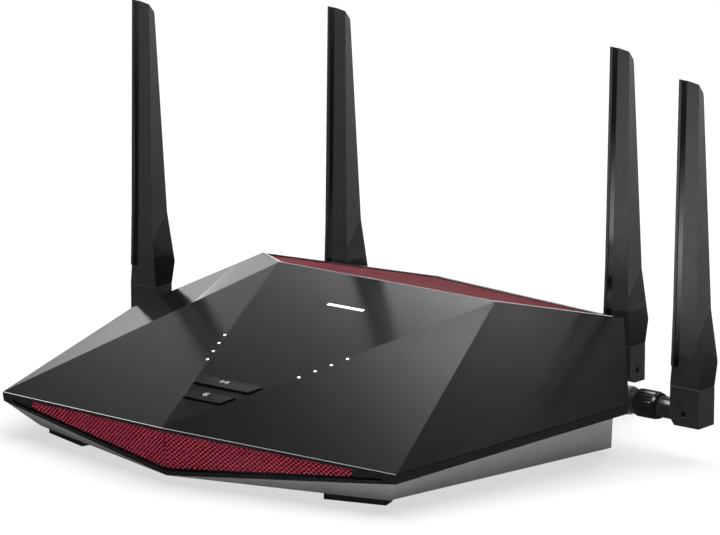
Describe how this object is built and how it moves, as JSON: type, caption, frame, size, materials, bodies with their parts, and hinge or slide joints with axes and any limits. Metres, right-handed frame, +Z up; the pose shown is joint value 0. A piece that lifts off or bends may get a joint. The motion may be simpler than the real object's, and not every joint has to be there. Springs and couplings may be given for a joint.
{
  "type": "wireless router",
  "caption": "Low faceted desktop wireless router with folding swivel antennas, a wide front mesh grille, top buttons and rear network sockets.",
  "frame": {"origin": "on the table, at the middle of the whole object's box, antennas included", "axes": "+X along the width, +Y from the nose to the rear sockets, +Z up"},
  "size_m": [0.34, 0.2442, 0.177],
  "materials": {
    "cover": "glossy black",
    "rim": "satin dark grey",
    "casing": "satin dark grey",
    "panel": "fine matt black",
    "red_mesh": "satin red",
    "trim": "satin silver",
    "button": "glossy black",
    "circuit_board": "solder mask",
    "light_lens": "clear lens over a lit white light",
    "chip": "moulded epoxy",
    "shield_can": "tin plated",
    "thermal_pad": "soft",
    "heat_sink": "extruded",
    "socket": "moulded",
    "socket_shell": "plated",
    "rear_button": "moulded",
    "reset_plunger": "moulded",
    "foot": "matt",
    "screw": "zinc plated",
    "coax": "smooth jacket",
    "jack_brass": "gold plated",
    "jack_nut": "black plated",
    "knurled_nut": "black, knurled",
    "stem": "satin black",
    "pin": "blackened",
    "antenna_base": "fine matt",
    "antenna_blade": "fine spark-eroded texture"
  },
  "bodies": {
    "root": {"top_cover": "cover", "rim_frame": "rim", "bottom_casing": "casing", "rear_panel": "panel", "front_grille": "red_mesh", "rear_vent_grille": "red_mesh", "vent_trim": "trim", "button_board": "circuit_board", "light_pipe_left": "light_lens", "light_pipe_right": "light_lens", "status_light_bar": "light_lens", "indicator_leds": "light_lens", "main_board": "circuit_board", "processor_chips": "chip", "radio_shields": "shield_can", "magnetics": "chip", "thermal_pad": "thermal_pad", "heat_sink": "heat_sink", "lan_jacks": "socket", "wan_jack": "socket", "usb_socket": "socket_shell", "power_inlet": "socket", "power_switch": "socket", "reset_switch": "socket", "front_feet": "foot", "rear_feet": "foot", "case_screws": "screw", "board_screws": "screw", "coax_leads": "coax", "antenna_jacks": "jack_brass", "jack_nuts": "jack_nut"},
    "wifi_button": {"wifi_button": "button"},
    "pairing_button": {"pairing_button": "button"},
    "power_button": {"power_button": "rear_button"},
    "reset_button": {"reset_button": "reset_plunger"},
    "nut_1": {"knurled_nut_1": "knurled_nut"},
    "stem_1": {"swivel_stem_1": "stem"},
    "antenna_1": {"hinge_pin_1": "pin", "hinge_block_1": "antenna_base", "blade_1": "antenna_blade", "radiator_1": "circuit_board"},
    "nut_2": {"knurled_nut_2": "knurled_nut"},
    "stem_2": {"swivel_stem_2": "stem"},
    "antenna_2": {"hinge_pin_2": "pin", "hinge_block_2": "antenna_base", "blade_2": "antenna_blade", "radiator_2": "circuit_board"},
    "nut_3": {"knurled_nut_3": "knurled_nut"},
    "stem_3": {"swivel_stem_3": "stem"},
    "antenna_3": {"hinge_pin_3": "pin", "hinge_block_3": "antenna_base", "blade_3": "antenna_blade", "radiator_3": "circuit_board"},
    "nut_4": {"knurled_nut_4": "knurled_nut"},
    "stem_4": {"swivel_stem_4": "stem"},
    "antenna_4": {"hinge_pin_4": "pin", "hinge_block_4": "antenna_base", "blade_4": "antenna_blade", "radiator_4": "circuit_board"}
  },
  "joints": [
    {"name": "wifi_press", "type": "slide", "parent": "root", "child": "wifi_button", "axis": [0, 0.227, -0.9739], "range_m": [0, 0.0008], "stiffness_N_per_m": 300},
    {"name": "pairing_press", "type": "slide", "parent": "root", "child": "pairing_button", "axis": [0, 0.227, -0.9739], "range_m": [0, 0.0008], "stiffness_N_per_m": 300},
    {"name": "power_press", "type": "slide", "parent": "root", "child": "power_button", "axis": [0, -1, 0], "range_m": [0, 0.0013], "stiffness_N_per_m": 400},
    {"name": "reset_press", "type": "slide", "parent": "root", "child": "reset_button", "axis": [0, -1, 0], "range_m": [0, 0.0005], "stiffness_N_per_m": 300},
    {"name": "nut_1_turn", "type": "hinge", "parent": "root", "child": "nut_1", "pos_m": [-0.133, 0.0581, 0.0232], "axis": [-1, 0, 0], "continuous": true},
    {"name": "antenna_1_swivel", "type": "hinge", "parent": "root", "child": "stem_1", "pos_m": [-0.133, 0.0581, 0.0232], "axis": [-1, 0, 0], "range_deg": [-90, 90]},
    {"name": "antenna_1_fold", "type": "hinge", "parent": "stem_1", "child": "antenna_1", "pos_m": [-0.1614, 0.0581, 0.0232], "axis": [0, -1, 0], "range_deg": [0, 90]},
    {"name": "nut_2_turn", "type": "hinge", "parent": "root", "child": "nut_2", "pos_m": [-0.0842, 0.0861, 0.0209], "axis": [0, 1, 0], "continuous": true},
    {"name": "antenna_2_swivel", "type": "hinge", "parent": "root", "child": "stem_2", "pos_m": [-0.0842, 0.0861, 0.0209], "axis": [0, 1, 0], "range_deg": [-90, 90]},
    {"name": "antenna_2_fold", "type": "hinge", "parent": "stem_2", "child": "antenna_2", "pos_m": [-0.0842, 0.1127, 0.0209], "axis": [-1, 0, 0], "range_deg": [0, 90]},
    {"name": "nut_3_turn", "type": "hinge", "parent": "root", "child": "nut_3", "pos_m": [0.0842, 0.0861, 0.0209], "axis": [0, 1, 0], "continuous": true},
    {"name": "antenna_3_swivel", "type": "hinge", "parent": "root", "child": "stem_3", "pos_m": [0.0842, 0.0861, 0.0209], "axis": [0, 1, 0], "range_deg": [-90, 90]},
    {"name": "antenna_3_fold", "type": "hinge", "parent": "stem_3", "child": "antenna_3", "pos_m": [0.0842, 0.1127, 0.0209], "axis": [-1, 0, 0], "range_deg": [0, 90]},
    {"name": "nut_4_turn", "type": "hinge", "parent": "root", "child": "nut_4", "pos_m": [0.133, 0.0581, 0.0232], "axis": [1, 0, 0], "continuous": true},
    {"name": "antenna_4_swivel", "type": "hinge", "parent": "root", "child": "stem_4", "pos_m": [0.133, 0.0581, 0.0232], "axis": [-1, 0, 0], "range_deg": [-90, 90]},
    {"name": "antenna_4_fold", "type": "hinge", "parent": "stem_4", "child": "antenna_4", "pos_m": [0.1614, 0.0581, 0.0232], "axis": [0, 1, 0], "range_deg": [0, 90]}
  ]
}
